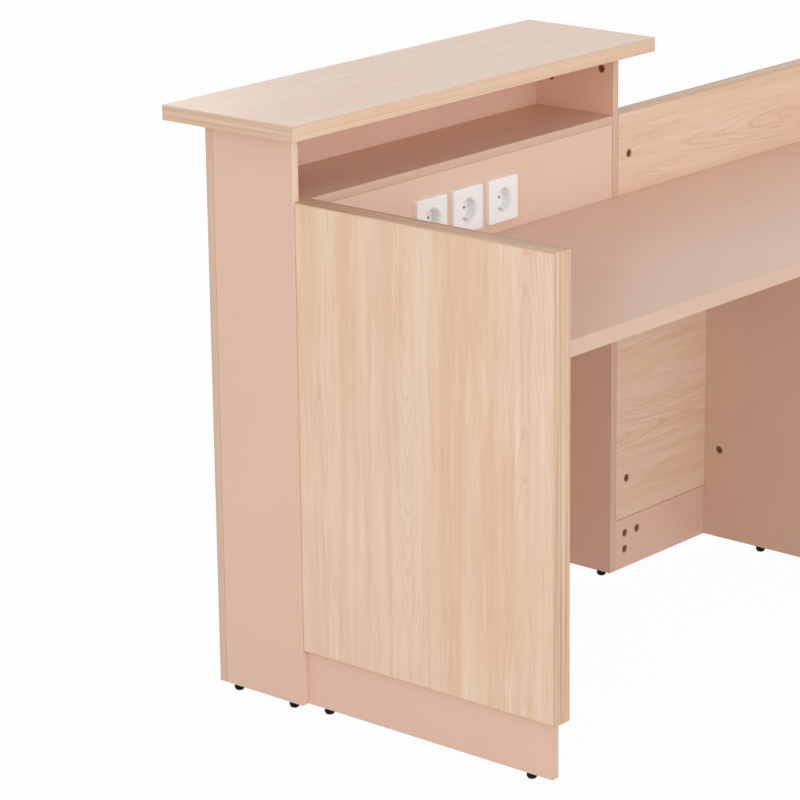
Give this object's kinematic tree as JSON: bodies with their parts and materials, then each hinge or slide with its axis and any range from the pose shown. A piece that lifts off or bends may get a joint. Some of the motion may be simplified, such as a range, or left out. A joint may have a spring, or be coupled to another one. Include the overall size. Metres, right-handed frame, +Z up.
{
  "type": "reception desk",
  "caption": "Reception desk: a raised visitor counter over an open niche, a seated worktop behind it, panel gables on inset plinths, wall sockets and levelling feet.",
  "frame": {"origin": "centre of the footprint box, on the floor", "axes": "+X along the desk to the right of a seated member of staff, +Y towards the visitor, +Z up"},
  "size_m": [1.845, 0.795, 1.0363],
  "materials": {
    "blush_board": "satin melamine-faced board, blush pink",
    "blush_edge": "satin plastic edge band, blush pink",
    "maple_board": "satin melamine-faced board with a pale maple grain",
    "maple_edge": "satin plastic edge band with a pale maple grain",
    "cam_zinc": "dark cast zinc",
    "bolt_steel": "plated steel",
    "foot_black": "black moulded plastic",
    "socket_white": "glossy white moulded plastic",
    "box_grey": "grey moulded plastic",
    "bracket_steel": "grey powder-coated steel"
  },
  "bodies": {
    "desk": {"tower_left_side": "blush_board", "tower_right_side": "blush_board", "tower_front_panel": "blush_board", "niche_shelf": "blush_board", "socket_panel": "blush_board", "counter_top": "maple_board", "counter_top_edge_band": "maple_edge", "worktop": "blush_board", "worktop_edge_band": "blush_edge", "left_gable": "maple_board", "left_gable_edge_band": "maple_edge", "left_gable_plinth": "blush_board", "right_gable": "maple_board", "right_gable_edge_band": "maple_edge", "right_gable_plinth": "blush_board", "front_panel": "maple_board", "front_panel_edge_band": "maple_edge", "front_plinth": "blush_board", "middle_support": "blush_board", "tower_left_counter_cam": "cam_zinc", "tower_left_counter_cam_bolt": "bolt_steel", "tower_left_front_cam": "cam_zinc", "tower_left_front_cam_bolt": "bolt_steel", "tower_right_counter_cam": "cam_zinc", "tower_right_counter_cam_bolt": "bolt_steel", "tower_right_front_cam": "cam_zinc", "tower_right_front_cam_bolt": "bolt_steel", "front_panel_upper_cam": "cam_zinc", "front_panel_upper_cam_bolt": "bolt_steel", "front_panel_lower_cam": "cam_zinc", "front_panel_lower_cam_bolt": "bolt_steel", "front_plinth_lower_cam": "cam_zinc", "front_plinth_lower_cam_bolt": "bolt_steel", "front_plinth_upper_cam": "cam_zinc", "front_plinth_upper_cam_bolt": "bolt_steel", "front_plinth_top_cam": "cam_zinc", "front_plinth_top_cam_bolt": "bolt_steel", "middle_support_cam": "cam_zinc", "middle_support_cam_bolt": "bolt_steel", "socket_cover_1": "socket_white", "socket_insert_1": "socket_white", "socket_box_1": "box_grey", "socket_cover_2": "socket_white", "socket_insert_2": "socket_white", "socket_box_2": "box_grey", "socket_cover_3": "socket_white", "socket_insert_3": "socket_white", "socket_box_3": "box_grey", "worktop_bracket_left": "bracket_steel", "worktop_bracket_right": "bracket_steel"},
    "foot_tower_left_rear": {"foot_tower_left_rear": "foot_black"},
    "foot_tower_left_front": {"foot_tower_left_front": "foot_black"},
    "foot_tower_right_rear": {"foot_tower_right_rear": "foot_black"},
    "foot_tower_right_front": {"foot_tower_right_front": "foot_black"},
    "foot_left_gable_rear": {"foot_left_gable_rear": "foot_black"},
    "foot_left_gable_front": {"foot_left_gable_front": "foot_black"},
    "foot_support_rear": {"foot_support_rear": "foot_black"},
    "foot_support_front": {"foot_support_front": "foot_black"},
    "foot_right_gable_rear": {"foot_right_gable_rear": "foot_black"},
    "foot_right_gable_front": {"foot_right_gable_front": "foot_black"}
  },
  "joints": [
    {"name": "foot_tower_left_rear_screw", "type": "slide", "parent": "desk", "child": "foot_tower_left_rear", "axis": [0, 0, -1], "range_m": [0, 0.01]},
    {"name": "foot_tower_left_front_screw", "type": "slide", "parent": "desk", "child": "foot_tower_left_front", "axis": [0, 0, -1], "range_m": [0, 0.01]},
    {"name": "foot_tower_right_rear_screw", "type": "slide", "parent": "desk", "child": "foot_tower_right_rear", "axis": [0, 0, -1], "range_m": [0, 0.01]},
    {"name": "foot_tower_right_front_screw", "type": "slide", "parent": "desk", "child": "foot_tower_right_front", "axis": [0, 0, -1], "range_m": [0, 0.01]},
    {"name": "foot_left_gable_rear_screw", "type": "slide", "parent": "desk", "child": "foot_left_gable_rear", "axis": [0, 0, -1], "range_m": [0, 0.01]},
    {"name": "foot_left_gable_front_screw", "type": "slide", "parent": "desk", "child": "foot_left_gable_front", "axis": [0, 0, -1], "range_m": [0, 0.01]},
    {"name": "foot_support_rear_screw", "type": "slide", "parent": "desk", "child": "foot_support_rear", "axis": [0, 0, -1], "range_m": [0, 0.01]},
    {"name": "foot_support_front_screw", "type": "slide", "parent": "desk", "child": "foot_support_front", "axis": [0, 0, -1], "range_m": [0, 0.01]},
    {"name": "foot_right_gable_rear_screw", "type": "slide", "parent": "desk", "child": "foot_right_gable_rear", "axis": [0, 0, -1], "range_m": [0, 0.01]},
    {"name": "foot_right_gable_front_screw", "type": "slide", "parent": "desk", "child": "foot_right_gable_front", "axis": [0, 0, -1], "range_m": [0, 0.01]}
  ]
}
